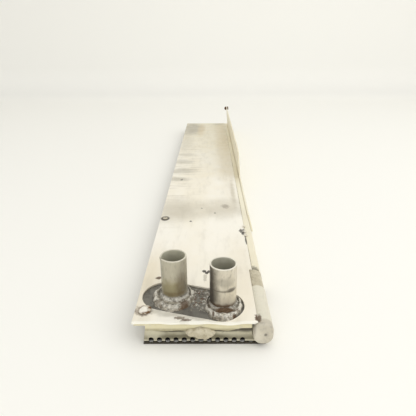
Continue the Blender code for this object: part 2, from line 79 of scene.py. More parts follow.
def makeSpotGroup():
    # soft-edged patch round a centre, its rim roughened by noise
    group = bpy.data.node_groups.new("stainPatch", "ShaderNodeTree")
    for title in ("Place", "Centre", "Reach", "Edge", "Ragged", "Grain"):
        kind = "NodeSocketVector" if title in ("Place", "Centre", "Reach") else "NodeSocketFloat"
        group.interface.new_socket(title, in_out="INPUT", socket_type=kind)
    group.interface.new_socket("Mask", in_out="OUTPUT", socket_type="NodeSocketFloat")

    def add(kind, operation=None):
        step = group.nodes.new(kind)
        if operation:
            step.operation = operation
        return step

    given = add("NodeGroupInput")
    result = add("NodeGroupOutput")
    offset = add("ShaderNodeVectorMath", "SUBTRACT")
    shrunk = add("ShaderNodeVectorMath", "DIVIDE")
    distance = add("ShaderNodeVectorMath", "LENGTH")
    rough = add("ShaderNodeTexNoise")
    rough.inputs["Detail"].default_value = 3
    centred = add("ShaderNodeMath", "SUBTRACT")
    centred.inputs[1].default_value = 0.5
    wobble = add("ShaderNodeMath", "MULTIPLY_ADD")
    low = add("ShaderNodeMath", "SUBTRACT")
    low.inputs[0].default_value = 1.0
    high = add("ShaderNodeMath", "ADD")
    high.inputs[0].default_value = 1.0
    fade = add("ShaderNodeMapRange")
    fade.interpolation_type = "SMOOTHSTEP"
    fade.inputs["To Min"].default_value = 1.0
    fade.inputs["To Max"].default_value = 0.0
    for source, socket in (
            (given.outputs["Place"], offset.inputs[0]), (given.outputs["Centre"], offset.inputs[1]),
            (offset.outputs[0], shrunk.inputs[0]), (given.outputs["Reach"], shrunk.inputs[1]),
            (shrunk.outputs[0], distance.inputs[0]), (given.outputs["Place"], rough.inputs["Vector"]),
            (given.outputs["Grain"], rough.inputs["Scale"]), (rough.outputs[0], centred.inputs[0]),
            (centred.outputs[0], wobble.inputs[0]), (given.outputs["Ragged"], wobble.inputs[1]),
            (distance.outputs["Value"], wobble.inputs[2]), (wobble.outputs[0], fade.inputs["Value"]),
            (given.outputs["Edge"], low.inputs[1]), (given.outputs["Edge"], high.inputs[1]),
            (low.outputs[0], fade.inputs["From Min"]), (high.outputs[0], fade.inputs["From Max"]),
            (fade.outputs[0], result.inputs["Mask"])):
        group.links.new(source, socket)
    return group


stainPatch = makeSpotGroup()


class Finish:
    # a material whose colour is built up in layers over millimetre coordinates

    def __init__(self, name, colour, metallic, roughness):
        self.material = bpy.data.materials.new(name)
        self.material.use_nodes = True
        self.tree = self.material.node_tree
        self.shader = self.tree.nodes["Principled BSDF"]
        self.shader.inputs["Metallic"].default_value = metallic
        self.shader.inputs["Roughness"].default_value = roughness
        coords = self.tree.nodes.new("ShaderNodeTexCoord")
        self.place = self.tree.nodes.new("ShaderNodeMapping")
        self.place.inputs["Scale"].default_value = (1000, 1000, 1000)
        self.place.inputs["Location"].default_value = (-chamberLeft * 1000, -plateFront * 1000, 0)
        self.tree.links.new(coords.outputs["Object"], self.place.inputs["Vector"])
        self.colour = self.tree.nodes.new("ShaderNodeRGB").outputs[0]
        self.colour.default_value = linear(*colour)
        self.heights = None

    def math(self, operation, first, second):
        step = self.tree.nodes.new("ShaderNodeMath")
        step.operation = operation
        for socket, value in zip(step.inputs, (first, second)):
            if isinstance(value, bpy.types.NodeSocket):
                self.tree.links.new(value, socket)
            else:
                socket.default_value = value
        return step.outputs[0]

    def grain(self, size, low=0.35, high=0.65, detail=4, stretch=(1, 1, 1), seed=0.0, rough=0.55):
        # noise with waves about size millimetres long, spread to run from 0 to 1
        mapping = self.tree.nodes.new("ShaderNodeMapping")
        mapping.inputs["Scale"].default_value = tuple(1 / (size * part) for part in stretch)
        mapping.inputs["Location"].default_value = (seed, seed * 2.3, seed * 0.7)
        self.tree.links.new(self.place.outputs[0], mapping.inputs["Vector"])
        pattern = self.tree.nodes.new("ShaderNodeTexNoise")
        pattern.inputs["Scale"].default_value = 1.0
        pattern.inputs["Detail"].default_value = detail
        pattern.inputs["Roughness"].default_value = rough
        self.tree.links.new(mapping.outputs[0], pattern.inputs["Vector"])
        return self.ramp(pattern.outputs[0], low, high)

    def ramp(self, value, low, high, bottom=0.0, top=1.0):
        step = self.tree.nodes.new("ShaderNodeMapRange")
        step.interpolation_type = "SMOOTHSTEP"
        for title, number in (("From Min", low), ("From Max", high), ("To Min", bottom), ("To Max", top)):
            step.inputs[title].default_value = number
        self.tree.links.new(value, step.inputs["Value"])
        return step.outputs[0]

    def along(self, axis, low, high):
        # 0 to 1 between two places on one axis
        split = self.tree.nodes.new("ShaderNodeSeparateXYZ")
        self.tree.links.new(self.place.outputs[0], split.inputs[0])
        return self.ramp(split.outputs[axis], low, high)

    def before(self, axis, low, high):
        # 1 to 0 between two places on one axis
        return self.ramp(self.along(axis, low, high), 0, 1, 1, 0)

    def patch(self, centre, reach, edge=0.4, ragged=0.5, grain=0.25):
        step = self.tree.nodes.new("ShaderNodeGroup")
        step.node_tree = stainPatch
        step.inputs["Centre"].default_value = (*centre, 0)[:3]
        step.inputs["Reach"].default_value = (*reach, 1e5)[:3]
        step.inputs["Edge"].default_value = edge
        step.inputs["Ragged"].default_value = ragged
        step.inputs["Grain"].default_value = grain
        self.tree.links.new(self.place.outputs[0], step.inputs["Place"])
        return step.outputs[0]

    def layer(self, mask, colour, strength=1.0):
        # lays a colour over what is there, where the mask is 1
        mix = self.tree.nodes.new("ShaderNodeMix")
        mix.data_type = "RGBA"
        if strength != 1.0:
            mask = self.math("MULTIPLY", mask, strength)
        self.tree.links.new(mask, mix.inputs["Factor"])
        self.tree.links.new(self.colour, mix.inputs[6])
        if isinstance(colour, tuple):
            mix.inputs[7].default_value = linear(*colour)
        else:
            self.tree.links.new(colour, mix.inputs[7])
        self.colour = mix.outputs[2]

    def lift(self, mask, height):
        # adds to the bump height, in millimetres
        step = self.math("MULTIPLY", mask, height)
        self.heights = step if self.heights is None else self.math("ADD", self.heights, step)

    def bumps(self, size, height, **more):
        # relief with waves about size millimetres long
        self.lift(self.grain(size, 0.3, 0.7, **more), height)

    def finish(self, size=None, seed=0, roughness=()):
        # the roughness wanders between two values, in waves about size millimetres long
        self.tree.links.new(self.colour, self.shader.inputs["Base Color"])
        if size:
            gloss = self.ramp(self.grain(size, 0.3, 0.7, seed=seed), 0, 1, *roughness)
            self.tree.links.new(gloss, self.shader.inputs["Roughness"])
        if self.heights is not None:
            bump = self.tree.nodes.new("ShaderNodeBump")
            bump.inputs["Strength"].default_value = 1.0
            bump.inputs["Distance"].default_value = 0.001
            self.tree.links.new(self.heights, bump.inputs["Height"])
            self.tree.links.new(bump.outputs[0], self.shader.inputs["Normal"])
        return self.material


def makePlateFinish():
    colours = {"sheet": (252, 248, 237), "warm": (244, 235, 212), "far": (226, 218, 192),
               "smudge": (196, 188, 168), "grey": (172, 166, 150), "tan": (214, 198, 164),
               "rust": (92, 68, 44), "soot": (48, 42, 34), "bead": (255, 253, 242)}
    plate = Finish("heatTintedPlate", colours["sheet"], 0.25, 0.42)
    plate.layer(plate.grain(60, 0.35, 0.7, stretch=(1, 2.2, 1), seed=4), colours["warm"], 0.55)
    plate.layer(plate.along(1, 260, 760), colours["far"], 0.75)
    plate.layer(plate.grain(9, 0.45, 0.75, stretch=(0.7, 3, 1), seed=9), colours["grey"], 0.16)
    # broad bands and smudges of heat and smoke
    tintPatches = [
        ((4, 212), (32, 34), 0.7, 0.9, 0.05, "smudge", 0.62),
        ((66, 218), (24, 27), 0.7, 0.9, 0.06, "smudge", 0.52),
        ((38, 205), (36, 16), 0.8, 0.9, 0.06, "smudge", 0.25),
        ((-2, 330), (17, 9), 0.6, 1.1, 0.09, "grey", 0.55),
        ((3, 372), (20, 12), 0.6, 1.1, 0.07, "grey", 0.50),
        ((1, 425), (16, 12), 0.6, 1.1, 0.07, "grey", 0.45),
        ((5, 470), (15, 10), 0.6, 1.1, 0.07, "grey", 0.35),
        ((-1, 560), (12, 60), 0.8, 0.9, 0.05, "grey", 0.25),
        ((4, 712), (24, 66), 0.5, 0.8, 0.04, "grey", 0.70),
        ((27, 700), (8, 60), 0.6, 0.9, 0.05, "tan", 0.60),
        ((72, 560), (12, 240), 0.6, 0.8, 0.04, "tan", 0.38),
        ((68, 766), (12, 14), 0.6, 0.8, 0.09, "smudge", 0.60),
        ((78, 275), (2.6, 44), 0.8, 1.2, 0.15, "smudge", 0.60),
        ((-6, 60), (9, 50), 0.8, 0.8, 0.08, "tan", 0.35),
        ((76, 60), (10, 60), 0.8, 0.9, 0.08, "tan", 0.25),
    ]
    for centre, reach, edge, ragged, grain, colour, strength in tintPatches:
        plate.layer(plate.patch(centre, reach, edge, ragged, grain), colours[colour], strength)
    # thin cross streaks near the left edge of the far half
    streaks = plate.grain(14, 0.52, 0.70, stretch=(4, 0.35, 1), seed=2)
    leftEdge = plate.patch((0, 400), (26, 170), 0.7, 0.6, 0.05)
    plate.layer(plate.math("MULTIPLY", streaks, leftEdge), colours["smudge"], 0.8)
    # small rusty and sooty marks
    smallMarks = [
        ((2.1, 59.8), (2.6, 2.0), "rust", 0.9), ((41.8, 70.2), (1.8, 2.0), "soot", 0.95),
        ((46.0, 69.6), (1.8, 2.0), "soot", 0.9), ((44.0, 67.4), (1.6, 1.8), "soot", 0.95),
        ((24.2, 5.8), (3.6, 1.7), "rust", 0.85), ((29.6, 3.4), (3.0, 1.5), "rust", 0.80),
        ((27.4, 1.2), (3.4, 2.0), "rust", 0.60),
        ((24.8, 177.5), (1.4, 2.0), "soot", 0.85), ((36.8, 216), (1.3, 2.2), "grey", 0.9),
        ((52.8, 201), (1.3, 2.2), "grey", 0.9), ((66, 222), (4.5, 6.0), "rust", 0.40),
        ((4.75, 327), (1.7, 3.4), "soot", 0.7), ((82.8, 4.4), (2.5, 4.6), "rust", 0.95),
        ((84.0, 131), (0.8, 9.0), "soot", 0.85), ((80.2, 153), (1.8, 4.0), "soot", 0.85),
        ((83.4, 154), (1.5, 3.6), "soot", 0.80), ((82.2, 147), (1.7, 4.2), "soot", 0.90),
        ((42.6, 60), (1.6, 6.5), "grey", 0.55),
    ]
    for centre, reach, colour, strength in smallMarks:
        plate.layer(plate.patch(centre, reach, 0.3, 1.9, 0.6), colours[colour], strength)
    # grey smoke along the front edge of the cut-out
    for centre, reach in (((6, 13.4), (7, 2.6)), ((17, 9.6), (9, 2.6)),
                          ((30, 6.4), (9, 2.3)), ((41, 3.9), (6, 1.7))):
        plate.layer(plate.patch(centre, reach, 0.7, 0.8, 0.2), colours["grey"], 0.55)
    # burnt rings round the rivet and the corner tack
    plate.layer(plate.patch((-5.2, 185.7), (4.9, 6.2), 0.25, 0.3, 0.5), colours["soot"], 0.95)
    plate.layer(plate.patch((-3.8, 14.2), (6.2, 6.4), 0.30, 1.2, 0.35), colours["rust"], 0.75)
    # painted highlight: the plate's front edge is lit bright, in the colour named bead
    plate.layer(plate.before(1, 0.9, 2.3), colours["bead"], 0.85)
    plate.bumps(22, 0.10, seed=6)
    plate.bumps(1.4, 0.012, detail=3, stretch=(1, 6, 1), seed=1)
    return plate.finish(18, 11, (0.36, 0.56))


def makeSidePlateFinish():
    colours = {"sheet": (244, 238, 216), "warm": (234, 225, 197), "grey": (186, 180, 163),
               "soot": (70, 64, 52), "rust": (96, 62, 36)}
    plate = Finish("heatTintedSideSheet", colours["sheet"], 0.25, 0.45)
    plate.layer(plate.grain(40, 0.4, 0.7, stretch=(1, 3, 1), seed=3), colours["warm"], 0.6)
    plate.layer(plate.grain(8, 0.5, 0.8, stretch=(1, 5, 1), seed=5), colours["grey"], 0.25)
    plate.layer(plate.patch((86.8, 71.5), (3.6, 7), 0.5, 1.1, 0.5), colours["soot"], 0.7)
    plate.layer(plate.patch((95, 769, 60), (7, 7, 6), 0.6, 0.8, 0.3), colours["rust"], 0.45)
    plate.bumps(26, 0.10, seed=8)
    plate.bumps(1.3, 0.012, detail=3, stretch=(1, 6, 1), seed=1)
    return plate.finish(15, 13, (0.38, 0.58))


def makeDeckFinish():
    # the back sheet: scaled dark where it shows in the cut-out, pale on its turned-down front
    colours = {"deck": (124, 121, 112), "dark": (70, 67, 60), "pale": (214, 208, 190),
               "fold": (228, 220, 186), "shade": (164, 155, 124), "white": (226, 222, 210),
               "rust": (96, 66, 40)}
    deck = Finish("scaledBackSheet", colours["deck"], 0.35, 0.5)
    deck.layer(deck.grain(5, 0.45, 0.7, seed=2), colours["dark"], 0.55)
    deck.layer(deck.patch((33, 14), (7, 5), 0.7, 0.8, 0.2), colours["dark"], 0.35)
    # spatter between the pipes
    spatterField = deck.patch((38, 33), (9, 13), 0.5, 0.6, 0.2)
    paleFlecks = deck.math("MULTIPLY", deck.grain(2.1, 0.54, 0.62, detail=4, seed=5), spatterField)
    deck.layer(paleFlecks, colours["white"], 0.75)
    rustyFlecks = deck.math("MULTIPLY", deck.grain(2.6, 0.52, 0.60, detail=4, seed=8), spatterField)
    deck.layer(rustyFlecks, colours["rust"], 0.8)
    front = deck.before(1, 3.4, 4.6)
    deck.layer(front, colours["fold"])
    # painted shade: the lower part of the turned-down front is darker
    low = deck.before(2, 12.6, 16.4)
    deck.layer(deck.math("MULTIPLY", front, low), colours["shade"], 0.8)
    deck.layer(deck.math("MULTIPLY", front, deck.grain(3.5, 0.55, 0.75, seed=4)), colours["pale"], 0.5)
    deck.bumps(3.0, 0.22, seed=6)
    deck.bumps(0.9, 0.07, seed=7)
    return deck.finish(6, 14, (0.4, 0.65))


def makeWeldFinish(name, colours, centre, rustPatches):
    weld = Finish(name, colours["bead"], 0.3, 0.45)
    weld.layer(weld.grain(3.4, 0.40, 0.64, seed=centre[0]), colours["grey"], 0.55)
    # grey in the trough and up the pipe's foot; white along the crest, a painted highlight on the ridge
    weld.layer(weld.patch(centre, (13.4, 13.4), 0.22, 0.35, 0.25), colours["grey"], 0.75)
    crest = weld.math("MULTIPLY", weld.along(2, 20.2, 21.5), weld.grain(4.5, 0.30, 0.50, detail=3, seed=6))
    weld.layer(crest, colours["white"], 0.9)
    weld.layer(weld.patch(centre, (12.0, 12.0), 0.15, 0.30, 0.3), colours["trough"], 0.70)
    weld.layer(weld.grain(3.0, 0.50, 0.62, detail=3, seed=centre[1]), colours["dark"], 0.50)
    weld.layer(weld.grain(4.0, 0.55, 0.65, detail=4, seed=centre[1] + 2), colours["rust"], 0.45)
    weld.layer(weld.grain(2.6, 0.56, 0.66, detail=2, seed=centre[0] + 4), colours["white"], 0.55)
    for place, reach, strength in rustPatches:
        weld.layer(weld.patch(place, reach, 0.35, 1.0, 0.5), colours["rust"], strength)
    weld.bumps(1.9, 0.60, detail=4, seed=3)
    weld.bumps(0.7, 0.18, detail=2, seed=5)
    return weld.finish(2, 9, (0.3, 0.6))


def makePipeFinish(name, colours, axis, patches, seam=None):
    pipe = Finish(name, colours["tube"], 0.45, 0.38)
    # vertical streaks, lighter and darker: mottling of the metal and painted reflections running down the
    # pipe
    pipe.layer(pipe.grain(5, 0.4, 0.7, stretch=(1, 1, 4), seed=patches[0][0][0]), colours["light"], 0.5)
    pipe.layer(pipe.grain(2.2, 0.5, 0.75, stretch=(1, 1, 2.5), seed=7), colours["dark"], 0.35)
    for place, reach, colour, strength in patches:
        pipe.layer(pipe.patch(place, reach, 0.6, 0.9, 0.25), colours[colour], strength)
    if seam:
        pipe.layer(pipe.patch(seam, (14, 14, 0.5), 0.5, 0.5, 0.3), colours["dark"], 0.6)
    pipe.layer(pipe.patch(axis, (9.9, 9.9), 0.02, 0.0), colours["inside"], 0.9)
    pipe.layer(pipe.along(2, 53.8, 54.3), colours["rim"], 0.9)
    pipe.bumps(4, 0.05, seed=2)
    pipe.bumps(0.5, 0.01, stretch=(1, 1, 10), seed=4)
    return pipe.finish(4, 6, (0.28, 0.5))


def makeFrontFinish():
    # the recessed front wall with its row of ports, and the chamber's sides
    colours = {"wall": (176, 170, 146), "pale": (214, 208, 184), "dark": (110, 104, 82), "line": (52, 46, 34),
               "soot": (44, 40, 33), "litWebHighlight": (226, 220, 196)}
    front = Finish("recessedFrontSteel", colours["wall"], 0.2, 0.55)
    front.layer(front.grain(6, 0.42, 0.68, stretch=(2, 1, 1), seed=3), colours["pale"], 0.6)
    front.layer(front.grain(3, 0.5, 0.72, stretch=(2, 1, 1), seed=7), colours["dark"], 0.5)
    front.layer(front.patch((40, 3, 5.4), (60, 9, 2.6), 0.6, 0.4, 0.2), colours["dark"], 0.85)
    front.layer(front.patch((4, 4, 9), (6.5, 6, 6), 0.6, 0.8, 0.2), colours["pale"], 0.7)
    # painted shade in the gap under the fold, on both sides of the weld lump; and the corner by the tube
    # darkened
    for centre, reach in (((18.7, 3, 11.4), (11, 6, 1.3)), ((60, 3, 11.5), (11, 6, 1.1))):
        front.layer(front.patch(centre, reach, 0.4, 0.4, 0.4), colours["line"], 0.9)
    front.layer(front.patch((74, 3, 13.4), (7, 6, 3.6), 0.4, 0.6, 0.3), colours["line"], 0.9)
    front.layer(front.patch((70, 3, 8), (12, 6, 3), 0.6, 0.8, 0.2), colours["pale"], 0.35)
    # painted highlight: the webs between the ports at the foot of the wall are lit bright
    front.layer(front.before(2, 2.6, 3.2), colours["litWebHighlight"], 0.9)
    # painted shade: everything behind the front wall's face is darkened, for the dark inside of the chamber
    front.layer(front.along(1, 3.1, 3.6), colours["soot"], 0.9)
    front.bumps(4, 0.15, seed=2)
    front.bumps(1.1, 0.05, seed=5)
    return front.finish(5, 8, (0.45, 0.65))


def makeCapFinish():
    colours = {"metal": (205, 198, 180), "pale": (228, 222, 204), "grey": (166, 160, 148),
               "pit": (110, 104, 92), "soot": (60, 54, 44), "strip": (236, 232, 214), "rust": (92, 68, 44)}
    cap = Finish("sideTubeSteel", colours["metal"], 0.25, 0.5)
    cap.layer(cap.grain(3, 0.45, 0.7, seed=2), colours["grey"], 0.5)
    cap.layer(cap.patch((81, -2, 9), (5, 8, 8), 0.6, 0.6, 0.2), colours["pale"], 0.6)
    cap.layer(cap.patch((87.5, -3, 12), (1.1, 3, 1.1), 0.5, 0.8, 0.8), colours["pit"], 0.8)
    cap.layer(cap.patch((84.5, -2, 2.6), (4.4, 5, 1.5), 0.4, 0.8, 0.5), colours["soot"], 0.75)
    cap.layer(cap.along(1, 2.0, 5.0), colours["strip"], 0.75)
    cap.layer(cap.patch((83.2, 4.6, 21), (1.7, 4.2, 3), 0.4, 0.9, 0.5), colours["rust"], 0.85)
    cap.layer(cap.patch((79.6, 20, 17), (0.9, 60, 6), 0.6, 0.6, 0.2), colours["grey"], 0.7)
    cap.bumps(2.4, 0.18, seed=5)
    cap.bumps(0.8, 0.05, seed=6)
    return cap.finish(4, 8, (0.4, 0.6))


def makePlainFinish(name, base, light, dark, size, bumpHeight, metallic=0.4, roughness=(0.4, 0.6)):
    plain = Finish(name, base, metallic, 0.5)
    plain.layer(plain.grain(size, 0.42, 0.68, seed=size), light, 0.6)
    plain.layer(plain.grain(size / 2.7, 0.5, 0.74, seed=size + 2), dark, 0.6)
    plain.bumps(size / 2, bumpHeight, seed=4)
    plain.bumps(size / 8, bumpHeight / 3, seed=5)
    return plain.finish(size, 1, roughness)


def makePortFinish():
    # the flame side: mottled by heat; darkened to near black along the row of ports, a painted shade
    port = Finish("portPlateSteel", (176, 168, 146), 0.3, 0.5)
    port.layer(port.grain(7, 0.42, 0.68, seed=7), (206, 199, 176), 0.6)
    port.layer(port.grain(2.6, 0.5, 0.74, seed=9), (92, 84, 66), 0.6)
    port.layer(port.before(1, 5.0, 9.0), (40, 36, 28), 0.9)
    port.bumps(3.5, 0.12, seed=4)
    port.bumps(0.9, 0.04, seed=5)
    return port.finish(7, 1, (0.45, 0.65))


def makeTackFinish():
    # pale bead with a broken brown rim
    tack = Finish("cornerTackBead", (112, 82, 50), 0.2, 0.45)
    tack.layer(tack.grain(3.4, 0.44, 0.56, detail=3, seed=3), (226, 218, 198), 0.85)
    tack.layer(tack.patch((-3.8, 14.0), (3.4, 3.4), 0.3, 0.9, 0.35), (252, 248, 236), 0.95)
    tack.bumps(1.6, 0.18, seed=4)
    tack.bumps(0.6, 0.05, seed=5)
    return tack.finish(2, 1, (0.35, 0.6))


leftAxis = tuple(round(part, 1) for part in nodeMiddle("inlet_pipe_left")[:2])
rightAxis = tuple(round(part, 1) for part in nodeMiddle("inlet_pipe_right")[:2])
seamHeight = 35.4
weldColours = {"bead": (198, 190, 172), "grey": (132, 128, 116), "dark": (72, 66, 54),
               "white": (248, 244, 232), "rust": (98, 74, 48), "trough": (120, 115, 101)}
finishes = {
    "plate": makePlateFinish(),
    "sidePlate": makeSidePlateFinish(),
    "deck": makeDeckFinish(),
    "front": makeFrontFinish(),
    "cap": makeCapFinish(),
    "leftWeld": makeWeldFinish("leftInletBead", weldColours, leftAxis, [
        ((27.0, 22.5), (3.2, 5.6), 0.85), ((25.0, 17.0), (2.6, 2.2), 0.75), ((7, 25), (2.0, 4.0), 0.35)]),
    "rightWeld": makeWeldFinish("rightInletBead", weldColours, rightAxis, [
        ((58.2, 14.2), (8.2, 2.9), 0.95), ((66.4, 7.2), (2.6, 2.0), 0.95), ((49.3, 10), (0.9, 2.6), 0.8),
        ((45.4, 22), (1.8, 5), 0.45)]),
    "leftPipe": makePipeFinish("leftPipeSteel", {
        "tube": (190, 184, 164), "light": (214, 208, 190), "dark": (118, 113, 97), "olive": (168, 158, 118),
        "brown": (118, 94, 60), "rim": (222, 217, 200), "inside": (206, 204, 186)}, leftAxis, [
        ((15, 29, 29), (10, 8, 8), "olive", 0.75), ((25, 31, 33), (5, 8, 9), "brown", 0.40),
        # the two dark patches down the pipe's flanks are painted shade and reflection lines
        ((18, 29, 24.6), (10, 8, 2.0), "brown", 0.45), ((7.5, 38, 45), (3.4, 9, 16), "dark", 0.5),
        ((28.8, 38, 42), (2.4, 9, 20), "dark", 0.4)]),
    "rightPipe": makePipeFinish("rightPipeSteel", {
        "tube": (214, 206, 187), "light": (234, 226, 208), "dark": (84, 78, 70), "mid": (140, 134, 118),
        "brown": (100, 74, 46), "rim": (240, 236, 222), "inside": (198, 196, 180)}, rightAxis, [
        # the mid and dark patches down the pipe's left flank are painted shade
        ((49.2, 22, 36), (4.4, 16, 40), "mid", 0.65), ((46.8, 25, 36), (3.6, 14, 46), "dark", 0.95),
        ((63.4, 18.5, 36), (3.0, 4, 1.8), "dark", 0.85), ((59, 17, 43), (6, 5, 4), "mid", 0.45),
        ((60, 17, 35.6), (8, 5, 1.0), "mid", 0.6), ((57, 18, 21.6), (10, 6, 2.0), "brown", 0.85)],
        (*rightAxis, seamHeight)),
    "port": makePortFinish(),
    # painted shade: the inner sheets are near black, standing in for the dark inside of the chamber
    "inner": makePlainFinish("innerSheetPaintedShade", (38, 36, 32), (58, 54, 47),
                             (22, 20, 17), 9, 0.1, 0.2, (0.7, 0.9)),
    "chamber": makePlainFinish("chamberWallSteel", (176, 170, 148), (206, 199, 176),
                               (118, 110, 88), 7, 0.1, 0.25),
    "rusty": makePlainFinish("rustedFastener", (92, 62, 40), (140, 104, 70),
                             (44, 32, 24), 2.2, 0.12, 0.2, (0.6, 0.85)),
    "rivet": makePlainFinish("burntRivet", (196, 188, 168), (222, 214, 196),
                             (46, 42, 36), 1.8, 0.1, 0.4, (0.35, 0.6)),
    "cornerTack": makeTackFinish(),
    "spatter": makePlainFinish("spatterFlecks", (150, 142, 124), (226, 220, 204),
                               (84, 66, 44), 3.2, 0.1, 0.3, (0.4, 0.6)),
    "tack": makePlainFinish("paleTackBead", (232, 226, 208), (250, 246, 234),
                            (118, 86, 52), 2.6, 0.18, 0.25, (0.35, 0.6)),
    "lump": makePlainFinish("frontWeldMetal", (200, 191, 166), (230, 222, 200),
                            (150, 138, 108), 7, 0.35, 0.25, (0.4, 0.6)),
}
print("materials made:", len(finishes))


# shared mesh steps

def everyPart(work):
    return work.verts[:] + work.edges[:] + work.faces[:]


def vertsOf(parts):
    return [part for part in parts if isinstance(part, bmesh.types.BMVert)]


def copyNode(name):
    work = bmesh.new()
    work.from_mesh(nodes[name].data)
    bmesh.ops.remove_doubles(work, verts=work.verts, dist=1e-6)
    bmesh.ops.dissolve_limit(work, angle_limit=math.radians(0.5), verts=work.verts, edges=work.edges)
    return work


def sliceAcross(work, axis, first, last, count):
    # parallel cuts, so that a flat sheet can bend
    normal = Vector((axis == "x", axis == "y", axis == "z"))
    for step in range(count):
        value = first + (last - first) * step / max(1, count - 1)
        point = {"x": spot(value, 0), "y": spot(0, value), "z": spot(0, 0, value)}[axis]
        bmesh.ops.bisect_plane(work, geom=everyPart(work), dist=1e-7, plane_co=point, plane_no=normal)


def makePiece(name, work, finish, replaced=(), sharp=35, edge=0.0, segments=2):
    mesh = bpy.data.meshes.new(name)
    work.to_mesh(mesh)
    work.free()
    piece = bpy.data.objects.new(name, mesh)
    scene.collection.objects.link(piece)
    mesh.materials.append(finish)
    mesh.shade_smooth()
    mesh.set_sharp_from_angle(angle=math.radians(sharp))
    if edge:
        rounding = piece.modifiers.new("softEdges", "BEVEL")
        rounding.width = edge / 1000
        rounding.segments = segments
        rounding.limit_method = "ANGLE"
        rounding.angle_limit = math.radians(40)
        rounding.harden_normals = True
    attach(piece, "root")
    if replaced:
        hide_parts(*replaced)
    return piece


def makeSoftCopy(name, cadNode, finish, edge, sharp=35, segments=3):
    return makePiece(name, copyNode(cadNode), finish, [cadNode], sharp, edge, segments)


def turnProfile(points, centre, steps):
    # spins a closed (radius, height) outline round an upright axis
    work = bmesh.new()
    line = [work.verts.new(spot(centre[0] + radius, centre[1], height)) for radius, height in points]
    edges = [work.edges.new(pair) for pair in zip(line, line[1:] + line[:1])]
    bmesh.ops.spin(work, geom=line + edges, cent=spot(*centre), axis=(0, 0, 1), angle=math.radians(360),
                   steps=steps, use_merge=True)
    bmesh.ops.remove_doubles(work, verts=work.verts, dist=1e-7)
    bmesh.ops.recalc_face_normals(work, faces=work.faces)
    return work


# top plate

def makeTopPlate():
    sheet = {"lipWave": 0.9, "lipReach": 16, "calmRight": 12, "dish": 0.25, "dishFrom": 80, "highest": 0.55,
             "softEdge": 0.6}
    right = benchPlace(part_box("top_plate")[1])[0]
    work = copyNode("top_plate")
    sliceAcross(work, "y", 0.6, 30, 22)
    sliceAcross(work, "y", 40, 770, 40)
    sliceAcross(work, "x", -9, 83, 40)
    for vert in work.verts:
        x, y, z = benchPlace(vert.co)
        near = max(0.0, 1 - y / sheet["lipReach"])
        wave = math.sin(x * 0.16 + 1.1) * 0.6 + lump(vert.co, 11, 2) * 0.9
        rise = near * near * sheet["lipWave"] * wave * min(1.0, (right - x) / sheet["calmRight"])
        rise += sheet["dish"] * lump(vert.co, 60, 5) * min(1.0, y / sheet["dishFrom"])
        vert.co.z += min(rise, sheet["highest"]) / 1000
    return makePiece("topPlate", work, finishes["plate"], ["top_plate"], 35,
                     sheet["softEdge"], 3)


makeTopPlate()


# back sheet: the deck in the cut-out and the turned-down front

def makeBackSheet():
    sheet = {"foldWave": 0.9, "foldBack": 3.2, "foldTop": 16, "foldDrop": 3.3,
             "burntAway": 3.0, "burntFrom": 60, "burntOver": 16,
             "deckLumps": 0.35, "deckFrom": 5, "deckTo": 60, "deckFloor": 18}
    work = copyNode("back_sheet")
    sliceAcross(work, "x", -8, 77, 60)
    sliceAcross(work, "y", 5, 60, 36)
    for vert in work.verts:
        x, y, z = benchPlace(vert.co)
        if y < sheet["foldBack"] and z < sheet["foldTop"]:
            vert.co.z += sheet["foldWave"] * (lump(vert.co, 9, 1) + 0.3 * math.sin(x * 0.3)) / 1000
            # burnt away towards the side tube
            share = max(0.0, min(1.0, (x - sheet["burntFrom"]) / sheet["burntOver"]))
            vert.co.z += share * sheet["burntAway"] * (sheet["foldTop"] - z) / sheet["foldDrop"] / 1000
        elif sheet["deckFrom"] < y < sheet["deckTo"] and z > sheet["deckFloor"]:
            spatter = max(0.0, lump(vert.co, 2.2, 3)) + 0.5 * max(0.0, lump(vert.co, 5, 4))
            vert.co.z += sheet["deckLumps"] * spatter / 1000
    return makePiece("backSheet", work, finishes["deck"], ["back_sheet"], 40)


makeBackSheet()
print("plate and back sheet made")


# inlet pipes and their welds

def makeInletPipe(name, cadNode, finish, burr):
    low, high = (Vector(benchPlace(corner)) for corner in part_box(cadNode))
    middle = (low + high) / 2
    radius = (high.x - low.x) / 2
    tube = {"wall": 1.3, "lip": 0.4, "steps": 96, "rows": 12, "dentDepth": 2.5, "rimWave": 0.12}
    inner = radius - tube["wall"]
    lip = tube["lip"]
    line = [(inner, low.z), (inner, high.z - 6), (inner, high.z - lip), (inner + lip * 0.35, high.z - 0.1),
            (inner + lip, high.z), (radius - lip, high.z), (radius - lip * 0.3, high.z - lip * 0.3),
            (radius, high.z - lip)]
    line += [(radius, high.z - lip - (high.z - lip - low.z) * step / tube["rows"])
             for step in range(1, tube["rows"] + 1)]
    work = turnProfile(line, (middle.x, middle.y), tube["steps"])
    for vert in work.verts:
        x, y, z = benchPlace(vert.co)
        angle = math.degrees(math.atan2(y - middle.y, x - middle.x))
        away = abs((angle - burr["angle"] + 180) % 360 - 180)
        if z > high.z - tube["dentDepth"] and away < burr["spread"]:
            # a hammered dent in the rim pushes the wall outwards a little and down
            share = (1 - away / burr["spread"]) ** 2 * (1 - (high.z - z) / tube["dentDepth"])
            outward = Vector((x - middle.x, y - middle.y, 0)).normalized()
            vert.co += outward * burr["push"] / 1000 * share
            vert.co.z -= burr["drop"] / 1000 * share
        vert.co.z += tube["rimWave"] * lump(vert.co, 4, 2) / 1000 * (z > high.z - 1)
    return makePiece(name, work, finish, [cadNode], 30)


makeInletPipe("leftInletPipe", "inlet_pipe_left", finishes["leftPipe"],
              {"angle": 196, "spread": 34, "push": 0.5, "drop": 1.1})
makeInletPipe("rightInletPipe", "inlet_pipe_right", finishes["rightPipe"],
              {"angle": 30, "spread": 24, "push": 0.2, "drop": 0.5})


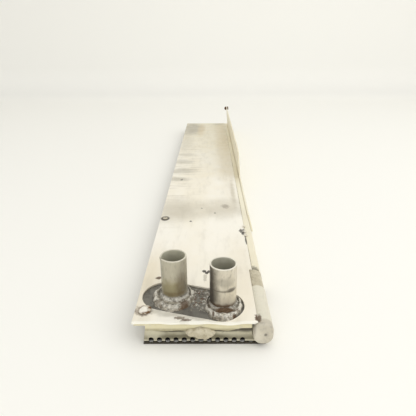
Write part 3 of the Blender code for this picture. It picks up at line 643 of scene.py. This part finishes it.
def makeInletWeld(name, cadNode, finish, bead):
    middle = nodeMiddle(cadNode.replace("weld", "pipe"))
    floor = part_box(cadNode)[0].z * 1000 - 0.25
    inner = bead["inner"]
    ledge = inner + bead["ledge"]
    fall = bead["valley"] - bead["cone"]
    span = bead["reach"] - bead["valleyAt"]
    line = [(inner, floor), (inner, floor + bead["cone"]), (ledge, floor + bead["cone"] - 0.3)]
    # down the pipe's foot into the valley, then over the crest to the deck
    for share in (step / 5 for step in range(1, 6)):
        line.append((ledge + (bead["valleyAt"] - ledge) * share,
                     floor + bead["cone"] + fall * math.sin(share * math.pi / 2)))
    for share in (step / 14 for step in range(1, 15)):
        height = bead["valley"] * (1 - share) + bead["crest"] * math.sin(math.pi * share) ** 0.7
        line.append((bead["valleyAt"] + span * share, floor + max(0.0, height)))
    work = turnProfile(line, (middle.x, middle.y), 150)
    stretchX, stretchY = bead["stretch"]
    shift = bead["shift"]
    for vert in work.verts:
        x, y, z = benchPlace(vert.co)
        radius = math.hypot(x - middle.x, y - middle.y)
        share = min(1.0, max(0.0, (radius - inner) / (bead["reach"] - inner)))
        outward = Vector(((x - middle.x) / radius, (y - middle.y) / radius))
        x = middle.x + (x - middle.x) * (1 + (stretchX - 1) * share) + shift[0] * share
        y = middle.y + (y - middle.y) * (1 + (stretchY - 1) * share) + shift[1] * share
        here = spot(x, y, z)
        height = z - floor
        if height > 0.05:
            bumps = sum(part * lump(here, size, bead["seed"] + more)
                        for part, size, more in ((0.55, 4.2, 0), (0.3, 1.9, 2), (0.14, 0.9, 5)))
            z += bumps * bead["rough"] * (0.35 + 0.65 * share) * min(1.0, height / 0.8)
        sideways = bead["rough"] * 0.9 * share * lump(here, 5.0, bead["seed"] + 8)
        x += outward.x * sideways
        y += outward.y * sideways
        vert.co = spot(x, max(y, bead["frontLimit"]), max(z, floor))
    return makePiece(name, work, finish, [cadNode], 60)


makeInletWeld("leftInletWeld", "inlet_weld_left", finishes["leftWeld"], {
    "inner": 10.58, "ledge": 0.8, "cone": 3.6, "valleyAt": 13.0, "valley": 0.8, "crest": 1.9,
    "reach": 17.0, "stretch": (0.97, 1.10), "shift": (-0.5, -5.6),
    "rough": 1.9, "seed": 3.0, "frontLimit": 13.6})
makeInletWeld("rightInletWeld", "inlet_weld_right", finishes["rightWeld"], {
    "inner": 10.58, "ledge": 0.8, "cone": 2.4, "valleyAt": 13.0, "valley": 1.0, "crest": 2.0,
    "reach": 17.0, "stretch": (0.86, 1.08), "shift": (0.0, -5.8),
    "rough": 1.8, "seed": 9.0, "frontLimit": 2.6})
print("pipes and inlet welds made")


def makeSpatter():
    # flakes and little balls of weld scattered on the deck between the pipes
    flecks = {"count": 46, "middle": (38, 28), "spread": (14, 26), "slant": 5,
              "smallest": 0.25, "range": 0.75, "flat": 0.55, "lifted": 0.1}
    work = bmesh.new()
    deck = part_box("back_sheet")[1].z * 1000
    for number in range(flecks["count"]):
        turn = noise.noise_vector(Vector((number * 1.71 + 0.3, number * 0.37, 2.5)))
        x = flecks["middle"][0] + turn.x * flecks["spread"][0]
        y = flecks["middle"][1] + turn.y * flecks["spread"][1] - turn.x * flecks["slant"]
        size = flecks["smallest"] + flecks["range"] * abs(turn.z)
        flake = bmesh.ops.create_icosphere(work, subdivisions=1, radius=size / 1000)["verts"]
        bmesh.ops.scale(work, vec=(1 + abs(turn.x), 0.8 + abs(turn.y), flecks["flat"]), verts=flake)
        bmesh.ops.rotate(work, verts=flake, cent=(0, 0, 0), matrix=Euler((0, 0, number * 1.9)).to_matrix())
        bmesh.ops.translate(work, vec=spot(x, y, deck + flecks["lifted"]), verts=flake)
    return makePiece("deckSpatter", work, finishes["spatter"], (), 60)


makeSpatter()


# front wall, port plate and chamber

makeSoftCopy("frontWall", "front_end_plate", finishes["front"], 0.2, 35, 2)


def makeDiffuserScreen():
    # the thin screen over the ports, drawn forward to the back of the front wall
    screen = {"frontBand": 0.1, "gap": 0.15}
    work = copyNode("diffuser_screen")
    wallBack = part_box("front_end_plate")[1].y
    front = min(vert.co.y for vert in work.verts)
    for vert in work.verts:
        if vert.co.y < front + screen["frontBand"] / 1000:
            vert.co.y = wallBack + screen["gap"] / 1000
    return makePiece("diffuserScreen", work, finishes["inner"], ["diffuser_screen"])


makeDiffuserScreen()


def makePortPlate():
    # the front strip with its slots comes from the CAD; behind it one pierced cell is repeated
    field = {"behindEdge": 7.4, "pitch": 6.26, "hole": 1.9, "sides": 12, "columns": 14}
    low, high = (Vector(benchPlace(corner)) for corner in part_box("port_plate"))
    start = low.y + field["behindEdge"]
    work = copyNode("port_plate")
    bmesh.ops.bisect_plane(work, geom=everyPart(work), dist=1e-7, plane_co=spot(0, start), plane_no=(0, 1, 0),
                           clear_outer=True)
    bmesh.ops.contextual_create(work, geom=[edge for edge in work.edges if edge.is_boundary])
    makePiece("portPlateFront", work, finishes["port"], ["port_plate"], 35, 0.15, 2)
    width = (high.x - low.x) / field["columns"]
    rows = round((high.y - start) / field["pitch"])
    length = (high.y - start) / rows
    cell = bmesh.new()
    hole = bmesh.ops.create_circle(cell, segments=field["sides"], radius=field["hole"] / 1000)["verts"]
    turned = Matrix.Rotation(math.radians(180 / field["sides"]), 4, "Z")
    bmesh.ops.transform(cell, matrix=turned, verts=hole)
    outer = bmesh.ops.extrude_edge_only(cell, edges=cell.edges[:])["geom"]
    for vert in vertsOf(outer):
        # the outer ring is pushed out on to the cell's square border
        reach = max(abs(vert.co.x) / (width / 2000), abs(vert.co.y) / (length / 2000))
        vert.co = Vector((vert.co.x / reach, vert.co.y / reach, 0))
    bmesh.ops.translate(cell, vec=spot(width / 2, start + length / 2, high.z), verts=cell.verts)
    bmesh.ops.solidify(cell, geom=cell.faces[:], thickness=(high.z - low.z) / 1000)
    bmesh.ops.recalc_face_normals(cell, faces=cell.faces)
    piece = makePiece("portPlateField", cell, finishes["port"], (), 35)
    for title, step, count in (("acrossRow", (width / 1000, 0, 0), field["columns"]),
                               ("downLength", (0, length / 1000, 0), rows)):
        repeat = piece.modifiers.new(title, "ARRAY")
        repeat.count = count
        repeat.use_relative_offset = False
        repeat.use_constant_offset = True
        repeat.constant_offset_displace = step
    return piece


makePortPlate()
print("port plate made")


# side tube, cap and its weld

def makeSideTube():
    cap = {"sides": 48, "rounding": 1.9, "roundSteps": 5, "dents": (0.45, 0.2), "dentSizes": (4, 1.8)}
    seam = {"wave": 0.45, "waveLength": 5, "sunk": 0.35}
    low, high = (Vector(benchPlace(corner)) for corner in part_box("side_tube_cap"))
    tubeEnd = benchPlace(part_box("side_tube")[1])[1]
    weldEnd = benchPlace(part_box("side_tube_weld")[1])[1]
    half = (high.x - low.x) / 2
    middleX = (low.x + high.x) / 2
    reach = (high.z - low.z) / 2 - half
    middleZ = (low.z + high.z) / 2
    work = bmesh.new()
    ring = bmesh.ops.create_circle(work, segments=cap["sides"], radius=half / 1000, cap_ends=True)["verts"]
    bmesh.ops.rotate(work, verts=ring, cent=(0, 0, 0), matrix=Matrix.Rotation(math.radians(90), 3, "X"))
    for vert in ring:
        vert.co.z += math.copysign(reach / 1000, vert.co.z) if abs(vert.co.z) > 1e-6 else 0
    bmesh.ops.translate(work, vec=spot(middleX, high.y, middleZ), verts=ring)
    grown = bmesh.ops.extrude_face_region(work, geom=work.faces[:], use_keep_orig=True)["geom"]
    front = vertsOf(grown)
    bmesh.ops.translate(work, vec=(0, (low.y - high.y) / 1000, 0), verts=front)
    bmesh.ops.recalc_face_normals(work, faces=work.faces)
    rim = [edge for edge in work.edges if all(vert in front for vert in edge.verts)]
    bmesh.ops.bevel(work, geom=rim, offset=cap["rounding"] / 1000, segments=cap["roundSteps"], profile=0.5,
                    affect="EDGES", material=-1)
    sliceAcross(work, "x", low.x + 1, high.x - 1, 12)
    sliceAcross(work, "z", low.z + 1, high.z - 1, 16)
    for vert in work.verts:
        x, y, z = benchPlace(vert.co)
        if y < high.y - 0.5:
            dent = sum(depth * abs(lump(vert.co, size, seed))
                       for depth, size, seed in zip(cap["dents"], cap["dentSizes"], (4, 6)))
            vert.co.y += dent / 1000
    makePiece("sideTubeCap", work, finishes["cap"], ["side_tube_cap"], 60)
    makeSoftCopy("sideTube", "side_tube", finishes["cap"], 0.3, 40)
    joint = copyNode("side_tube_weld")
    sliceAcross(joint, "y", tubeEnd + 1, weldEnd - 1, 22)
    sliceAcross(joint, "z", low.z + 2, high.z - 2, 10)
    for vert in joint.verts:
        x, y, z = benchPlace(vert.co)
        outward = Vector((x - middleX, 0, z - middleZ)).normalized()
        vert.co += outward * (seam["wave"] * lump(vert.co, seam["waveLength"], 6) - seam["sunk"]) / 1000
    makePiece("sideTubeWeld", joint, finishes["lump"], ["side_tube_weld"], 60)


makeSideTube()


# rail and tall side plate

def makeSideSheets():
    wave = {"rail": 0.25, "railLength": 45, "railFloor": 5, "tall": 0.7, "tallLength": 70, "tallFloor": 21,
            "tallOver": 12}
    rail = copyNode("side_rail")
    sliceAcross(rail, "y", 80, 770, 50)
    for vert in rail.verts:
        x, y, z = benchPlace(vert.co)
        vert.co.x += wave["rail"] * lump(vert.co, wave["railLength"], 3) / 1000 * (z > wave["railFloor"])
    makePiece("sideRail", rail, finishes["sidePlate"], ["side_rail"], 35, 0.5, 3)
    tall = copyNode("tall_side_plate")
    sliceAcross(tall, "y", 200, 770, 40)
    sliceAcross(tall, "z", 24, 60, 8)
    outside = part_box("tall_side_plate")[1].x
    for vert in tall.verts:
        x, y, z = benchPlace(vert.co)
        if z > wave["tallFloor"]:
            share = min(1.0, (z - wave["tallFloor"]) / wave["tallOver"])
            vert.co.x += wave["tall"] * lump(vert.co, wave["tallLength"], 7) / 1000 * share
        vert.co.x = min(vert.co.x, outside)
    makePiece("tallSidePlate", tall, finishes["sidePlate"], ["tall_side_plate"], 35,
              0.35, 3)


makeSideSheets()
print("side tube, rail and tall plate made")


# small fasteners and weld tacks

makeSoftCopy("sidePlateBolt", "side_plate_bolt", finishes["rusty"], 0.35)
makeSoftCopy("sidePlateNut", "side_plate_nut", finishes["rusty"], 0.3)


def makeRivet():
    middle = nodeMiddle("plate_rivet")
    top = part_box("plate_rivet")[1].z * 1000
    head = {"reach": 3.0, "bore": 0.8, "shank": 1.6, "steps": 40, "depth": 1.2}
    foot = plateTop - head["depth"]
    line = [(head["bore"], foot), (head["bore"], top - 0.2), (head["bore"] + 0.25, top),
            (head["reach"] * 0.5, top), (head["reach"] * 0.8, top - 0.25), (head["reach"], top - 0.7),
            (head["reach"], plateTop + 0.15), (head["shank"], plateTop + 0.1), (head["shank"], foot)]
    work = turnProfile(line, (middle.x, middle.y), head["steps"])
    return makePiece("plateRivet", work, finishes["rivet"], ["plate_rivet"], 40)


makeRivet()


def makeBead(name, cadNode, finish, seed, rough, levels=4, wave=4.5):
    # a frozen puddle of weld: a ball cut flat, then roughened
    puddle = {"fullness": 0.85, "sunk": 0.2}
    low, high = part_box(cadNode)
    middle = (low + high) / 2
    size = high - low
    work = bmesh.new()
    bmesh.ops.create_icosphere(work, subdivisions=levels, radius=1.0)
    if cadNode == "front_weld_lump":
        scale = Vector((size.x / 2, size.y, size.z / 2))
        base = Vector((middle.x, high.y, middle.z))
        plane = Vector((0, -1, 0))
    else:
        scale = Vector((size.x / 2, size.y / 2, size.z))
        base = Vector((middle.x, middle.y, low.z))
        plane = Vector((0, 0, 1))
    bmesh.ops.bisect_plane(work, geom=everyPart(work), dist=1e-6, plane_co=(0, 0, 0), plane_no=plane,
                           clear_inner=True)
    bmesh.ops.contextual_create(work, geom=[edge for edge in work.edges if edge.is_boundary])
    for vert in work.verts:
        place = vert.co.copy()
        shape = Vector(math.copysign(abs(part) ** puddle["fullness"], part) for part in place)
        target = base + shape * scale
        wobble = lump(target, wave, seed) * 0.7 + lump(target, wave / 2.5, seed + 3) * 0.3
        target += place * rough * wobble / 1000
        for axis in range(3):
            if plane[axis]:
                target[axis] = max(low[axis] - puddle["sunk"] / 1000, min(high[axis], target[axis]))
        vert.co = target
    bmesh.ops.recalc_face_normals(work, faces=work.faces)
    return makePiece(name, work, finish, [cadNode], 70)


makeBead("frontWeldLump", "front_weld_lump", finishes["lump"], 4, 2.6, 5, 9)
makeBead("cornerTackWeld", "corner_tack_weld", finishes["cornerTack"], 7, 0.5)
for number in (1, 2, 3):
    makeBead(f"seamTackWeld{number}", f"seam_tack_weld_{number}", finishes["tack"], 9 + number, 0.4, 3)

# CAD nodes that keep their own shape

keptNodes = {
    "chamber": ["left_side_wall", "right_side_wall", "rear_end_plate"],
    "inner": ["chamber_divider", "distribution_baffle_left", "distribution_baffle_right"]
    + [f"baffle_support_{side}_{number}" for side in ("left", "right") for number in (1, 2, 3)],
}
for finish, names in keptNodes.items():
    for name in names:
        data = nodes[name].data
        data.materials.clear()
        data.materials.append(finishes[finish])
print("welds, fasteners and kept nodes finished")

# floor, light and camera

backdrop = bmesh.new()
strip = [backdrop.edges.new([backdrop.verts.new(point) for point in ((-3, -2.2, 0), (3, -2.2, 0))])]
for move in ((0, 3.1, 0), (0, 0.12, 0.02), (0, 0.06, 0.1), (0, 0.02, 0.3), (0, 0, 1.6)):
    grown = bmesh.ops.extrude_edge_only(backdrop, edges=strip)["geom"]
    bmesh.ops.translate(backdrop, vec=move, verts=vertsOf(grown))
    strip = [item for item in grown if isinstance(item, bmesh.types.BMEdge)]
bmesh.ops.recalc_face_normals(backdrop, faces=backdrop.faces)
floorMesh = bpy.data.meshes.new("studioFloor")
backdrop.to_mesh(floorMesh)
backdrop.free()
floorMesh.shade_smooth()
studioFloor = bpy.data.objects.new("studioFloor", floorMesh)
scene.collection.objects.link(studioFloor)
paper = Finish("paleFloor", (252, 251, 245), 0.0, 0.7)
floorMesh.materials.append(paper.finish())

world = bpy.data.worlds.new("studio")
world.use_nodes = True
world.node_tree.nodes["Background"].inputs["Color"].default_value = (1.0, 0.993, 0.98, 1.0)
world.node_tree.nodes["Background"].inputs["Strength"].default_value = 0.66
scene.world = world
scene.view_settings.view_transform = "Standard"


def addLamp(name, place, target, size, power, colour):
    lamp = bpy.data.lights.new(name, "AREA")
    lamp.shape = "RECTANGLE"
    lamp.size, lamp.size_y = size
    lamp.energy = power
    lamp.color = colour
    holder = bpy.data.objects.new(name, lamp)
    holder.location = place
    holder.rotation_euler = (Vector(target) - Vector(place)).to_track_quat("-Z", "Y").to_euler()
    scene.collection.objects.link(holder)


addLamp("windowRight", (1.1, -0.7, 1.1), (0, -0.2, 0), (1.6, 1.2), 7, (1.0, 0.995, 0.98))
addLamp("frontFill", (-0.3, -1.7, 0.8), (0, -0.35, 0), (1.6, 0.8), 4, (1.0, 1.0, 0.99))
addLamp("overhead", (0.1, 0.2, 1.7), (0, 0.1, 0), (1.2, 1.6), 4, (1.0, 0.995, 0.98))

shooting = bpy.data.cameras.new("workbenchCamera")
shooting.lens = 34.02
shooting.sensor_width = 36
viewer = bpy.data.objects.new("workbenchCamera", shooting)
viewer.location = (0.00358, -0.6192, 0.20861)
viewer.rotation_euler = (1.1745, 0.00629, 0.00404)
scene.collection.objects.link(viewer)
scene.camera = viewer
print("studio set")
